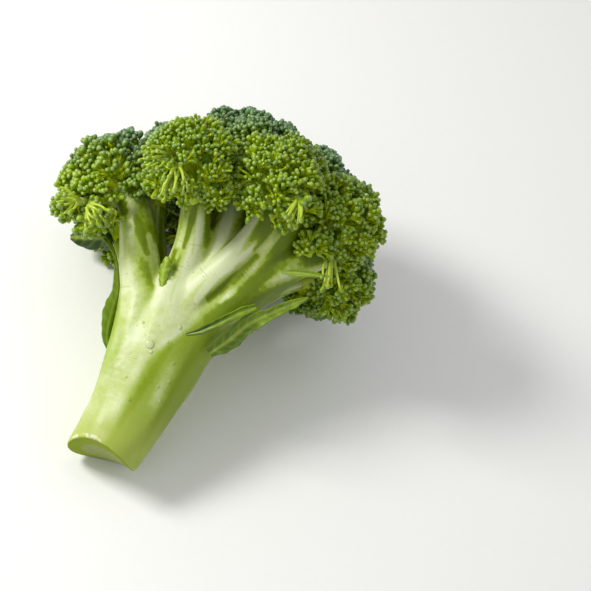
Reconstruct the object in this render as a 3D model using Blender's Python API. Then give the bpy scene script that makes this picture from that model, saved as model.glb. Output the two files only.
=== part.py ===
"""A head of broccoli, cut from the plant and lying on its side on a flat surface.

The head is modelled as it grows, with the stalk up +Z and its cut end near the origin, and an empty then
lays it on its side. The stalk with its branches is one solid, and so are each floret's mass of buds and each
small leaf. The sizes below are in millimetres, and new_object turns them into metres.
"""

import math

import bmesh
import bpy
import numpy as np
from mathutils import Matrix, Vector

MM = 0.001

# How the head lies: it rolls about its stalk, then tips over until the stalk is this far above the surface.
LYING_ROLL = math.radians(2.5)
LYING_TIP = math.radians(21.6)

# The gap kept between neighbouring solids.
GAP = 0.3
# A floret's pocket and a leaf's foot stay this far from the stalk, whose smoothed skin wanders a little.
STALK_CLEARANCE = 0.7

# The trunk's middle line, as (x, y, z, radius).
TRUNK = [
    (2.0, 0, -12, 15.5),
    (3.3, 0, 6, 15.7),
    (5.2, 0, 24, 16.5),
    (5.4, 0, 38, 18.2),
    (5.0, 0, 50, 20.3),
    (4.0, 0, 64, 20.0),
]

# Each floret's dome, as (centre, radius), and the branch that carries it, as (x, y, z, radius) points from the
# trunk outwards.
FLORETS = {
    "floret_left": (
        ((-50, -11, 109), 23.0),
        [(-4, -3, 56, 14.0), (-12, -7, 73, 12.0), (-21, -10, 87, 10.5), (-32, -13, 105, 8.5),
         (-41, -12, 112, 7.0)],
    ),
    "floret_top_left": (
        ((-25, 6, 138), 23.0),
        [(-2, 0, 64, 10.0), (-12, 1, 88, 7.5), (-21, 2, 104, 6.5), (-28, 4, 122, 6.0)],
    ),
    "floret_front_left": (
        ((-17, -39, 129), 22.0),
        [(0, -7, 66, 11.0), (-2, -11, 84, 9.0), (-4, -18, 102, 8.0), (-10, -28, 118, 7.0)],
    ),
    "floret_front_right": (
        ((20, -37, 140), 21.0),
        [(4, -8, 60, 11.0), (9, -14, 82, 8.0), (16, -20, 100, 7.0), (22, -26, 118, 6.5), (25, -31, 130, 6.5)],
    ),
    "floret_crown": (
        ((3, 2, 153), 25.0),
        [(3, -2, 64, 10.0), (5, -6, 92, 7.5), (8, -9, 112, 7.0), (7, -5, 132, 6.5)],
    ),
    "floret_top_right": (
        ((37, 5, 152), 24.0),
        [(6, 0, 64, 10.0), (13, 0, 100, 7.0), (25, 3, 130, 6.0)],
    ),
    "floret_right": (
        ((52, -18, 141), 23.0),
        [(10, -4, 54, 14.0), (21, -9, 80, 11.5), (30, -13, 99, 10.0), (41, -17, 114, 8.0),
         (50, -18, 124, 7.0)],
    ),
    "floret_right_low": (
        ((63, 4, 123), 19.0),
        [(12, 2, 60, 11.0), (28, 7, 90, 8.0), (42, 8, 108, 6.5), (55, 5, 120, 6.0)],
    ),
    "floret_back_far_right": (
        ((54, 30, 128), 21.0),
        [(10, 5, 62, 10.0), (27, 14, 98, 6.0), (44, 23, 119, 5.5)],
    ),
    "floret_back_right": (
        ((26, 43, 134), 24.0),
        [(7, 6, 60, 11.0), (12, 20, 96, 7.0), (19, 34, 118, 6.5)],
    ),
    "floret_back_mid": (
        ((-8, 40, 139), 24.0),
        [(3, 6, 62, 10.0), (0, 19, 98, 6.0), (-3, 32, 124, 5.5)],
    ),
    "floret_back_left": (
        ((-42, 38, 114), 24.0),
        [(0, 5, 56, 12.0), (-15, 18, 82, 8.0), (-31, 33, 100, 7.0)],
    ),
}

LOBES_IN_A_DOME = 12
LOBE_SHARE = 0.52

# The cut end is a gently arched and twisted face. Its height at x from CUT_MIDDLE, and at y, is
# CUT_RISE + CUT_TILT x - CUT_LEAN y - CUT_ARCH x^2 + CUT_TWIST x y.
CUT_MIDDLE = 3.3
CUT_RISE = 4.9
CUT_TILT = 0.058
CUT_LEAN = 0.032
CUT_ARCH = 0.0114
CUT_TWIST = 0.0133

# A branch's rounded end stands this share of its radius past its last ring.
END_DOME = 0.4
STALK_VOXEL = 2.2
STALK_FACES_KEPT = 0.2
FLORET_FACES_KEPT = 0.3
LEAF_THICKNESS = 1.0

# Each leaf's midrib as (x, y, z, half-width) points, the way its blade is spread, and how far its edges curl
# up as a share of its half-width.
LEAVES = {
    "leaf_left": (
        [(-17.2, -1, 48, 1.0), (-20.5, -1, 54, 2.6), (-22.8, -1, 62, 3.0), (-24.5, -1, 75, 2.2),
         (-28.6, 2, 84, 1.8), (-35, 5, 88, 3.5), (-43, 9, 88, 6.5), (-53, 9, 84, 3.0)],
        (0.5, 0.8, 0.2),
        0.12,
    ),
    "leaf_right": (
        [(21, -22, 63, 4.5), (30, -25, 74, 6.5), (38, -26, 85, 5.5), (46, -27, 94, 4.0), (54, -27, 101, 1.2)],
        (-0.75, -0.25, 0.6),
        0.30,
    ),
    "bract_right": (
        [(40, -27, 104, 1.6), (49, -29, 106, 1.9), (57, -30, 110, 0.9)],
        (-0.3, -0.5, 0.8),
        0.10,
    ),
    "bract_fork": (
        [(-9, -19.5, 84, 1.8), (-10, -22.5, 89, 2.6), (-11, -24, 94, 1.2)],
        (0.9, -0.3, 0.2),
        0.15,
    ),
}


def material(name, colour, roughness):
    """A plain Principled material with a colour, a roughness and no metal."""
    made = bpy.data.materials.new(name)
    made.use_nodes = True
    shader = made.node_tree.nodes["Principled BSDF"]
    shader.inputs["Base Color"].default_value = (*colour, 1.0)
    shader.inputs["Roughness"].default_value = roughness
    shader.inputs["Metallic"].default_value = 0.0
    return made


def smooth_path(points, steps=4):
    """A Catmull-Rom curve through points of any width, with steps spans between each two."""
    line = np.array(points, float)
    ends = np.vstack([2 * line[0] - line[1], line, 2 * line[-1] - line[-2]])
    t = (np.arange(steps) / steps)[:, None]
    spans = []
    for p0, p1, p2, p3 in zip(ends, ends[1:], ends[2:], ends[3:]):
        square = 2 * p0 - 5 * p1 + 4 * p2 - p3
        cube = 3 * p1 - p0 - 3 * p2 + p3
        spans.append(p1 + 0.5 * ((p2 - p0) * t + square * t**2 + cube * t**3))
    return np.vstack([*spans, line[-1:]])


def spread_directions(count):
    """Unit vectors spread evenly over a sphere, each a golden angle round from the last."""
    k = np.arange(count) + 0.5
    height = 1 - 2 * k / count
    turn = math.pi * (1 + math.sqrt(5)) * k
    level = np.sqrt(1 - height**2)
    return np.stack([level * np.cos(turn), level * np.sin(turn), height], axis=1)


def new_object(name, bm, finish=None):
    """Turns a bmesh in millimetres into an object in metres, with smooth faces."""
    bmesh.ops.scale(bm, vec=(MM, MM, MM), verts=bm.verts)
    bmesh.ops.recalc_face_normals(bm, faces=bm.faces)
    mesh = bpy.data.meshes.new(name)
    bm.to_mesh(mesh)
    bm.free()
    mesh.shade_smooth()
    if finish:
        mesh.materials.append(finish)
    made = bpy.data.objects.new(name, mesh)
    bpy.context.scene.collection.objects.link(made)
    return made


def hide(helper):
    """A cutter or a guide isn't part of the broccoli."""
    helper.hide_render = True
    helper.display_type = "WIRE"
    return helper


def add_tube(bm, path, sides=14):
    """One closed tapered tube along a path of (x, y, z, radius), with a low dome over each end."""
    line = smooth_path(path)
    centre, radius = line[:, :3], line[:, 3]
    ahead = np.gradient(centre, axis=0)
    ahead /= np.linalg.norm(ahead, axis=1)[:, None]
    side = np.cross(ahead, (0.0, 1.0, 0.0))
    side /= np.linalg.norm(side, axis=1)[:, None]
    other = np.cross(ahead, side)
    angle = np.arange(sides) * 2 * math.pi / sides
    rings = []
    for c, r, u, v in zip(centre, radius, side, other):
        rings.append([bm.verts.new(c + r * (math.cos(a) * u + math.sin(a) * v)) for a in angle])
    for low, high in zip(rings, rings[1:]):
        for k in range(sides):
            bm.faces.new((low[k - 1], low[k], high[k], high[k - 1]))
    for end, way in ((0, -1), (-1, 1)):
        ring = rings[end]
        top = bm.verts.new(centre[end] + way * END_DOME * radius[end] * ahead[end])
        for k in range(sides):
            bm.faces.new((ring[k - 1], ring[k], top))


def cut_cutter():
    """A block that fills everything below the stalk's twisted cut face."""
    half, depth, cells = 30.0, 40.0, 10
    bm = bmesh.new()
    bmesh.ops.create_grid(bm, x_segments=cells, y_segments=cells, size=half)
    for v in bm.verts:
        x, y = v.co.x - CUT_MIDDLE, v.co.y
        v.co.z = CUT_RISE + CUT_TILT * x - CUT_LEAN * y - CUT_ARCH * x * x + CUT_TWIST * x * y
    walls = bmesh.ops.extrude_face_region(bm, geom=list(bm.faces))
    for v in (g for g in walls["geom"] if isinstance(g, bmesh.types.BMVert)):
        v.co.z = -depth
    return hide(new_object("cut_cutter", bm))


def stalk_modifiers(obj, grown=0.0):
    """Fuses overlapping tubes into one smooth skin, thins its faces, and grows it outwards for a cutter."""
    fuse = obj.modifiers.new("fuse", "REMESH")
    fuse.mode = "VOXEL"
    fuse.voxel_size = STALK_VOXEL * MM
    soften = obj.modifiers.new("soften", "SMOOTH")
    soften.factor = 0.5
    soften.iterations = 3
    thin = obj.modifiers.new("thin", "DECIMATE")
    thin.ratio = STALK_FACES_KEPT
    if grown:
        grow = obj.modifiers.new("grow", "DISPLACE")
        grow.strength = grown * MM
        grow.mid_level = 0.0


def build_stalk(finish, cutter):
    """The trunk and its branches as one solid, with the twisted cut at the foot."""
    bm = bmesh.new()
    add_tube(bm, TRUNK, sides=24)
    for _, branch in FLORETS.values():
        add_tube(bm, branch)
    stalk = new_object("stalk_with_branches", bm, finish)
    stalk_modifiers(stalk)
    cut = stalk.modifiers.new("cut", "BOOLEAN")
    cut.object = cutter
    cut.operation = "DIFFERENCE"
    return stalk


def stalk_cutter():
    """The same skin grown outwards, which keeps florets and leaves off the stalk."""
    bm = bmesh.new()
    add_tube(bm, TRUNK, sides=24)
    for _, branch in FLORETS.values():
        add_tube(bm, branch)
    cutter = new_object("stalk_cutter", bm)
    stalk_modifiers(cutter, grown=STALK_CLEARANCE)
    return hide(cutter)


def lobed_radius(direction, radius):
    """How far a floret's surface is along a direction: the outermost of the lobes that make up its dome."""
    lobe = LOBE_SHARE * radius
    reach = radius - lobe
    along = direction @ spread_directions(LOBES_IN_A_DOME).T * reach
    inside = np.maximum(lobe**2 - reach**2 + along**2, 0.0)
    return (along + np.sqrt(inside)).max(axis=-1)


def build_floret(name, finish, cutter):
    """A floret's lobed dome of buds, flat where it meets its neighbours, with a pocket for its branch."""
    centre, radius = FLORETS[name][0]
    middle = np.array(centre, float)
    bm = bmesh.new()
    bmesh.ops.create_icosphere(bm, subdivisions=3, radius=1.0)
    for v in bm.verts:
        direction = np.array(v.co.normalized())
        v.co = Vector(middle + direction * lobed_radius(direction, radius))
    for other, ((place, size), _) in FLORETS.items():
        apart = np.array(place, float) - middle
        distance = np.linalg.norm(apart)
        if other == name or distance >= radius + size:
            continue
        towards = apart / distance
        share = (distance**2 + radius**2 - size**2) / (2 * distance)
        point = middle + towards * (share - GAP / 2)
        cut = bmesh.ops.bisect_plane(
            bm, geom=[*bm.verts, *bm.edges, *bm.faces], plane_co=point, plane_no=towards, clear_outer=True
        )
        rim = [g for g in cut["geom_cut"] if isinstance(g, bmesh.types.BMEdge)]
        if rim:
            bmesh.ops.contextual_create(bm, geom=rim)
    bmesh.ops.triangulate(bm, faces=bm.faces)
    floret = new_object(name, bm, finish)
    thin = floret.modifiers.new("thin", "DECIMATE")
    thin.ratio = FLORET_FACES_KEPT
    pocket = floret.modifiers.new("pocket", "BOOLEAN")
    pocket.object = cutter
    pocket.operation = "DIFFERENCE"
    return floret


def build_leaf(name, finish, cutter):
    """A thin blade spread each side of its midrib, its edges curled towards the front of the blade."""
    midrib, across, curl = LEAVES[name]
    line = smooth_path(midrib, steps=4)
    ahead = np.gradient(line[:, :3], axis=0)
    ahead /= np.linalg.norm(ahead, axis=1)[:, None]
    spread = np.array(across, float)
    bm = bmesh.new()
    rows = []
    for (x, y, z, half), forward in zip(line, ahead):
        side = spread - forward * (spread @ forward)
        side /= np.linalg.norm(side)
        up = np.cross(forward, side)
        row = []
        for s in (-1.0, -0.5, 0.0, 0.5, 1.0):
            row.append(bm.verts.new(np.array((x, y, z)) + s * half * side + curl * half * s * s * up))
        rows.append(row)
    for low, high in zip(rows, rows[1:]):
        for k in range(4):
            bm.faces.new((low[k], low[k + 1], high[k + 1], high[k]))
    leaf = new_object(name, bm, finish)
    wall = leaf.modifiers.new("wall", "SOLIDIFY")
    wall.thickness = LEAF_THICKNESS * MM
    wall.offset = 0.0
    trim = leaf.modifiers.new("trim", "BOOLEAN")
    trim.object = cutter
    trim.operation = "DIFFERENCE"
    return leaf


def lowest_and_middle(objects):
    """The height of the lowest point, and the middle of the box across X and Y, once modifiers are applied."""
    bpy.context.view_layer.update()
    graph = bpy.context.evaluated_depsgraph_get()
    low, high = np.full(3, 1e9), np.full(3, -1e9)
    for obj in objects:
        shown = obj.evaluated_get(graph)
        mesh = shown.to_mesh()
        points = np.empty(len(mesh.vertices) * 3, np.float32)
        mesh.vertices.foreach_get("co", points)
        world = np.array(shown.matrix_world)
        points = points.reshape(-1, 3) @ world[:3, :3].T + world[:3, 3]
        shown.to_mesh_clear()
        low = np.minimum(low, points.min(axis=0))
        high = np.maximum(high, points.max(axis=0))
    return low[2], (low + high) / 2


def lay_down(objects):
    """Parents everything to one empty that lays the head on its side, its box standing on the origin."""
    pose = bpy.data.objects.new("lying_pose", None)
    bpy.context.scene.collection.objects.link(pose)
    for obj in objects:
        obj.parent = pose
    turn = Matrix.Rotation(-(math.pi / 2 - LYING_TIP), 4, "X") @ Matrix.Rotation(LYING_ROLL, 4, "Z")
    pose.rotation_euler = turn.to_euler()
    lowest, middle = lowest_and_middle([o for o in objects if not o.hide_render])
    pose.location = (-middle[0], -middle[1], -lowest)


def main():
    for old in list(bpy.data.objects):
        bpy.data.objects.remove(old)
    foot_cutter = cut_cutter()
    clearance = stalk_cutter()
    made = [build_stalk(material("stalk_skin", (0.45, 0.56, 0.17), 0.4), foot_cutter)]
    for name in FLORETS:
        made.append(build_floret(name, material(name + "_buds", (0.13, 0.22, 0.04), 0.5), clearance))
    for name in LEAVES:
        made.append(build_leaf(name, material(name + "_skin", (0.12, 0.24, 0.03), 0.45), clearance))
    lay_down([*made, foot_cutter, clearance])


main()
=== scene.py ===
"""Looks for a head of broccoli that lies on its side: its skin, cut end, flower buds and leaves, and a stage.

The head is worked out as it grows, in millimetres, with the stalk up +Z and its cut end near the origin, and
lay_down then puts every point into the frame, in metres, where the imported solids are.
"""

import math

import bpy
import numpy as np
import openvdb
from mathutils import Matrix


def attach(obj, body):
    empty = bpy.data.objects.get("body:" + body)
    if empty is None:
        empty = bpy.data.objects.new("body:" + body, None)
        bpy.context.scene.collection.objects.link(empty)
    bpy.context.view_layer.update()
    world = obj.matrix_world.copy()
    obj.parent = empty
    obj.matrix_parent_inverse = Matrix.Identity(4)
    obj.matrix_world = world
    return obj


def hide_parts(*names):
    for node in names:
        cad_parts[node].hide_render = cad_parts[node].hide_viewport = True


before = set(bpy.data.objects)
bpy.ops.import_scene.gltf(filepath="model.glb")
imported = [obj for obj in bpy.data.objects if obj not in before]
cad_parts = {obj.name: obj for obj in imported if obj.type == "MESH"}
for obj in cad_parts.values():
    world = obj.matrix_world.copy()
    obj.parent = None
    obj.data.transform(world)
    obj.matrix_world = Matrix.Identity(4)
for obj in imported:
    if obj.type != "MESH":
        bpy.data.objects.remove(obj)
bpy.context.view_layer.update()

bl_info = {
    "name": "Broccoli Head",
    "version": (1, 0, 0),
    "blender": (4, 5, 0),
    "location": "3D View > Sidebar > Broccoli",
    "description": "Makes a head of broccoli lying on a pale floor",
    "category": "Add Mesh",
}

MM = 0.001
# The least height above the floor, in mm, of a point that the floor presses flat.
PRESSED_FLAT = 0.1

# How the grown head lies: rolled about its stalk, tipped over, and moved to the solids' place.
LYING_ROLL = math.radians(2.5)
LYING_TIP = math.radians(21.6)
LYING_PLACE = np.array([-4.131, -81.830, 12.959])

# The trunk's middle line, as (x, y, z, radius).
TRUNK = [
    (2.0, 0, -12, 15.5),
    (3.3, 0, 6, 15.7),
    (5.2, 0, 24, 16.5),
    (5.4, 0, 38, 18.2),
    (5.0, 0, 50, 20.3),
    (4.0, 0, 64, 20.0),
]

# Each floret's dome, as (centre, radius), and the branch that carries it, as (x, y, z, radius) points.
FLORETS = {
    "floret_left": (
        ((-50, -11, 109), 23.0),
        [(-4, -3, 56, 14.0), (-12, -7, 73, 12.0), (-21, -10, 87, 10.5), (-32, -13, 105, 8.5),
         (-41, -12, 112, 7.0)],
    ),
    "floret_top_left": (
        ((-25, 6, 138), 23.0),
        [(-2, 0, 64, 10.0), (-12, 1, 88, 7.5), (-21, 2, 104, 6.5), (-28, 4, 122, 6.0)],
    ),
    "floret_front_left": (
        ((-17, -39, 129), 22.0),
        [(0, -7, 66, 11.0), (-2, -11, 84, 9.0), (-4, -18, 102, 8.0), (-10, -28, 118, 7.0)],
    ),
    "floret_front_right": (
        ((20, -37, 140), 21.0),
        [(4, -8, 60, 11.0), (9, -14, 82, 8.0), (16, -20, 100, 7.0), (22, -26, 118, 6.5), (25, -31, 130, 6.5)],
    ),
    "floret_crown": (
        ((3, 2, 153), 25.0),
        [(3, -2, 64, 10.0), (5, -6, 92, 7.5), (8, -9, 112, 7.0), (7, -5, 132, 6.5)],
    ),
    "floret_top_right": (
        ((37, 5, 152), 24.0),
        [(6, 0, 64, 10.0), (13, 0, 100, 7.0), (25, 3, 130, 6.0)],
    ),
    "floret_right": (
        ((52, -18, 141), 23.0),
        [(10, -4, 54, 14.0), (21, -9, 80, 11.5), (30, -13, 99, 10.0), (41, -17, 114, 8.0),
         (50, -18, 124, 7.0)],
    ),
    "floret_right_low": (
        ((63, 4, 123), 19.0),
        [(12, 2, 60, 11.0), (28, 7, 90, 8.0), (42, 8, 108, 6.5), (55, 5, 120, 6.0)],
    ),
    "floret_back_far_right": (
        ((54, 30, 128), 21.0),
        [(10, 5, 62, 10.0), (27, 14, 98, 6.0), (44, 23, 119, 5.5)],
    ),
    "floret_back_right": (
        ((26, 43, 134), 24.0),
        [(7, 6, 60, 11.0), (12, 20, 96, 7.0), (19, 34, 118, 6.5)],
    ),
    "floret_back_mid": (
        ((-8, 40, 139), 24.0),
        [(3, 6, 62, 10.0), (0, 19, 98, 6.0), (-3, 32, 124, 5.5)],
    ),
    "floret_back_left": (
        ((-42, 38, 114), 24.0),
        [(0, 5, 56, 12.0), (-15, 18, 82, 8.0), (-31, 33, 100, 7.0)],
    ),
}

# The cut end's height at x from CUT_MIDDLE, and at y, is CUT_RISE + CUT_TILT x - CUT_LEAN y - CUT_ARCH
# x^2 + CUT_TWIST x y.
CUT_MIDDLE = 3.3
CUT_RISE = 4.9
CUT_TILT = 0.058
CUT_LEAN = 0.032
CUT_ARCH = 0.0114
CUT_TWIST = 0.0133

# The view's axes in the grown head's own directions, the point that it aims at, and how much it takes in
# there.
VIEW_AHEAD = np.array([0.0, 0.966, 0.259])
VIEW_RIGHT = np.array([0.899, -0.113, 0.423])
VIEW_AIM = np.array([48.6, 0.0, 107.0])
VIEW_DISTANCE = 900.0
VIEW_WIDTH = 266.0
SENSOR = 36.0


# ----------------------------------------------------------------------------------------
# Numbers and shapes
# ----------------------------------------------------------------------------------------


def linear(hex_colour):
    """sRGB hex to linear: c / 12.92 under 0.04045, else ((c + 0.055) / 1.055) to the power 2.4."""
    value = np.array([int(hex_colour[i : i + 2], 16) / 255 for i in (1, 3, 5)])
    curve = np.where(value <= 0.04045, value / 12.92, ((value + 0.055) / 1.055) ** 2.4)
    return tuple(float(c) for c in curve)


def unit(vectors):
    """Each vector divided by its length."""
    return vectors / np.maximum(np.linalg.norm(vectors, axis=-1, keepdims=True), 1e-9)


def lying_turn():
    """Rx(tip - 90 degrees) Rz(roll), which turns the grown head onto its side."""
    a, b = LYING_TIP - math.pi / 2, LYING_ROLL
    about_x = np.array([[1, 0, 0], [0, math.cos(a), -math.sin(a)], [0, math.sin(a), math.cos(a)]])
    about_z = np.array([[math.cos(b), -math.sin(b), 0], [math.sin(b), math.cos(b), 0], [0, 0, 1]])
    return about_x @ about_z


def lay_down(points):
    """Points of the grown head, in millimetres, to the frame, in metres: turn, move, scale."""
    return (points @ lying_turn().T + LYING_PLACE) * MM


def seeded(name, seed):
    """A random source that gives a named piece the same draws each run."""
    return np.random.default_rng([seed, *name.encode()])


def smooth_step(low, high, value):
    """3 t^2 - 2 t^3, where t runs from 0 at low to 1 at high."""
    t = np.clip((value - low) / (high - low), 0, 1)
    return t * t * (3 - 2 * t)


def smooth_path(points, steps):
    """A Catmull-Rom curve through points of any width, with steps spans between each two."""
    line = np.array(points, float)
    ends = np.vstack([2 * line[0] - line[1], line, 2 * line[-1] - line[-2]])
    t = (np.arange(steps) / steps)[:, None]
    spans = []
    for p0, p1, p2, p3 in zip(ends, ends[1:], ends[2:], ends[3:]):
        square = 2 * p0 - 5 * p1 + 4 * p2 - p3
        cube = 3 * p1 - p0 - 3 * p2 + p3
        spans.append(p1 + 0.5 * ((p2 - p0) * t + square * t**2 + cube * t**3))
    return np.vstack([*spans, line[-1:]])


def soft_min(a, b, reach):
    """The lower of two distances, rounded where they differ by less than reach: min - h^2 reach / 4."""
    h = np.clip(reach - np.abs(a - b), 0, None) / reach
    return np.minimum(a, b) - h * h * reach / 4


def lattice_noise(points, table):
    """Smooth noise about 0: random values at whole-number places, blended with 3 t^2 - 2 t^3 between
    them, for two lattices turned differently, so that neither one's squares show."""
    size = len(table)
    total = np.zeros(len(points))
    for turn in ((0.5, 0.3, 0.8), (-0.7, 0.6, 0.2)):
        turned = points @ upright_frames(unit(np.array([turn])), np.array([1.0]))[0] + 7.3 * turn[0]
        low = np.floor(turned).astype(np.int64)
        t = turned - low
        t = t * t * (3 - 2 * t)
        for i in (0, 1):
            for j in (0, 1):
                for k in (0, 1):
                    share = np.abs(1 - i - t[:, 0]) * np.abs(1 - j - t[:, 1]) * np.abs(1 - k - t[:, 2])
                    value = table[(low[:, 0] + i) % size, (low[:, 1] + j) % size, (low[:, 2] + k) % size]
                    total += share * (value - 0.5)
    return 0.75 * total


def cut_height(x, y):
    """The height of the twisted cut at the stalk's foot."""
    x = x - CUT_MIDDLE
    return CUT_RISE + CUT_TILT * x - CUT_LEAN * y - CUT_ARCH * x * x + CUT_TWIST * x * y


def along_tube(points, line):
    """For each point, against a tapered tube along line: how far outside its skin it is, how far along
    the tube its nearest axis point is, and that axis point. The skin is the nearest axis point's radius
    away."""
    best = np.full(len(points), 1e9)
    reach = np.zeros(len(points))
    foot = np.zeros((len(points), 3))
    start = 0.0
    for a, b in zip(line, line[1:]):
        span = b[:3] - a[:3]
        length = np.linalg.norm(span)
        t = np.clip((points - a[:3]) @ span / length**2, 0, 1)
        near = a[:3] + t[:, None] * span
        gap = np.linalg.norm(points - near, axis=1) - (a[3] + t * (b[3] - a[3]))
        closer = gap < best
        best = np.where(closer, gap, best)
        reach = np.where(closer, start + t * length, reach)
        foot = np.where(closer[:, None], near, foot)
        start += length
    return best, reach, foot


def upright_frames(directions, spins):
    """For each unit direction, a matrix whose columns are a side, another side and the direction, spun
    about it."""
    helper = np.where(np.abs(directions[:, 2:]) < 0.9, [[0.0, 0.0, 1.0]], [[1.0, 0.0, 0.0]])
    side = unit(np.cross(helper, directions))
    other = np.cross(directions, side)
    c, s = np.cos(spins)[:, None], np.sin(spins)[:, None]
    return np.stack([c * side + s * other, c * other - s * side, directions], axis=2)


def spread(axes, count, cap, rng, jitter):
    """count unit directions round each axis, out to the angle cap: a golden-angle spiral whose heights
    run evenly from 1 to cos(cap), spun at random for each axis and moved by up to jitter."""
    k = np.arange(count) + 0.5
    height = 1 - (1 - math.cos(cap)) * k / count
    turn = math.pi * (3 - math.sqrt(5)) * k
    level = np.sqrt(np.clip(1 - height**2, 0, 1))
    local = np.stack([level * np.cos(turn), level * np.sin(turn), height], axis=1)
    local = unit(local + jitter * rng.uniform(-1, 1, (len(axes), count, 3)))
    frames = upright_frames(axes, rng.uniform(0, 2 * math.pi, len(axes)))
    return np.einsum("nij,nkj->nki", frames, local)


def ring_faces(rings, sides):
    """The quads between rings of points that follow each other, and the triangles to a pole at each end.
    Points are numbered ring by ring, and then the first and last poles."""
    k = np.arange(sides)
    base = (np.arange(rings - 1) * sides)[:, None]
    quads = np.stack([base + k, base + (k + 1) % sides, base + sides + (k + 1) % sides, base + sides + k], 2)
    first, last, top = rings * sides, rings * sides + 1, (rings - 1) * sides
    low = np.stack([np.full(sides, first), (k + 1) % sides, k], 1)
    high = np.stack([np.full(sides, last), top + k, top + (k + 1) % sides], 1)
    return quads.reshape(-1, 4), np.vstack([low, high])


def repeat_faces(faces, copies, points_each):
    """The same faces for each of several copies of a set of points."""
    return (faces[None] + (np.arange(copies) * points_each)[:, None, None]).reshape(-1, faces.shape[1])


def turned_forms(profile, sides, lobes, lobe_depth):
    """A closed turned form: radius and height along a profile, its radius waved round by cos(lobes
    angle)."""
    profile = np.array(profile, float)
    angle = np.arange(sides) * 2 * math.pi / sides
    wave = 1 + lobe_depth * np.cos(lobes * angle)
    rings = profile[1:-1]
    points = np.stack(
        [
            rings[:, :1] * wave * np.cos(angle),
            rings[:, :1] * wave * np.sin(angle),
            np.repeat(rings[:, 1:], sides, axis=1),
        ],
        axis=2,
    ).reshape(-1, 3)
    poles = np.array([[0, 0, profile[0, 1]], [0, 0, profile[-1, 1]]])
    quads, triangles = ring_faces(len(rings), sides)
    return np.vstack([points, poles]), quads, triangles


def stems(starts, bends, ends, start_radius, end_radius, sides, rings):
    """Tapered stems, each along a curve from its start towards its bend and on to its end: (1-t)^2 start
    + 2 t (1-t) bend + t^2 end, with round rings square to the chord, and a pole at each end."""
    t = np.linspace(0, 1, rings)[None, :, None]
    middle = (1 - t) ** 2 * starts[:, None] + 2 * t * (1 - t) * bends[:, None] + t**2 * ends[:, None]
    frames = upright_frames(unit(ends - starts), np.zeros(len(starts)))
    angle = np.arange(sides) * 2 * math.pi / sides
    circle = np.stack([np.cos(angle), np.sin(angle)], axis=1)
    across = np.einsum("nij,kj->nki", frames[:, :, :2], circle)
    first, last = start_radius[:, None, None, None], end_radius[:, None, None, None]
    radius = first * (1 - t[..., None]) + last * t[..., None]
    points = middle[:, :, None] + radius * across[:, None]
    count = len(starts)
    poles = np.stack([starts, ends], axis=1)
    points = np.concatenate([points.reshape(count, -1, 3), poles], axis=1)
    quads, triangles = ring_faces(rings, sides)
    each = rings * sides + 2
    return points.reshape(-1, 3), repeat_faces(quads, count, each), repeat_faces(triangles, count, each), each


class Heap:
    """Points, faces and point values that are gathered bit by bit into one mesh."""

    def __init__(self, *names):
        self.points, self.quads, self.triangles = [], [], []
        self.values = {name: [] for name in names}
        self.count = 0

    def add(self, points, quads, triangles, **values):
        """Adds a shape. Each value is one number, or one for each point."""
        self.points.append(points)
        self.quads.append(np.asarray(quads, np.int64).reshape(-1, 4) + self.count)
        self.triangles.append(np.asarray(triangles, np.int64).reshape(-1, 3) + self.count)
        for name, gathered in self.values.items():
            gathered.append(np.broadcast_to(np.asarray(values[name], float), len(points)))
        self.count += len(points)

    def mesh(self, name):
        """One smooth mesh, laid down in the frame, with each value as a point attribute. A point that
        would be under the floor is pressed flat just above it."""
        points = lay_down(np.vstack(self.points)).astype(np.float32)
        points[:, 2] = np.maximum(points[:, 2], PRESSED_FLAT * MM)
        quads, triangles = np.vstack(self.quads), np.vstack(self.triangles)
        mesh = bpy.data.meshes.new(name)
        mesh.vertices.add(len(points))
        mesh.vertices.foreach_set("co", points.ravel())
        corners = np.concatenate([quads.ravel(), triangles.ravel()]).astype(np.int32)
        mesh.loops.add(len(corners))
        mesh.loops.foreach_set("vertex_index", corners)
        starts = np.concatenate(
            [np.arange(len(quads)) * 4, quads.size + np.arange(len(triangles)) * 3]
        ).astype(np.int32)
        mesh.polygons.add(len(starts))
        mesh.polygons.foreach_set("loop_start", starts)
        mesh.update(calc_edges=True)
        if mesh.validate():
            raise RuntimeError(f"{name} had faces that Blender had to mend")
        for key, gathered in self.values.items():
            layer = mesh.attributes.new(key, "FLOAT", "POINT")
            layer.data.foreach_set("value", np.concatenate(gathered).astype(np.float32))
        mesh.shade_smooth()
        return mesh


def place(mesh, material, nodes):
    """Shows a mesh as a piece that rides on the head and stands for some of its solids."""
    piece = bpy.data.objects.new(mesh.name, mesh)
    bpy.context.scene.collection.objects.link(piece)
    mesh.materials.append(material)
    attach(piece, "root")
    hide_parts(*nodes)
    return piece


# ----------------------------------------------------------------------------------------
# Materials
# ----------------------------------------------------------------------------------------

# The wax value is partly the rind's own wax and partly painted highlights and painted shade.
RIND_VALUES = ("wax", "crisp", "scar", "cut", "rim", "foot", "torn", "wet")
BUD_VALUES = ("tip", "sky", "tint")
LEAF_VALUES = ("vein", "dark")
PLANT_IOR = 1.45
PITS_APART = 2.6
GRAIN_ROUGHNESS = 0.55

# The sockets that a mix of two colours, a mix of two numbers and a stretch between two pairs of numbers
# read.
MIX_COLOURS = (0, 6, 7)
MIX_NUMBERS = (0, 2, 3)
MIXED_COLOUR = 2
STRETCH = ("Value", "From Min", "From Max", "To Min", "To Max")


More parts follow.
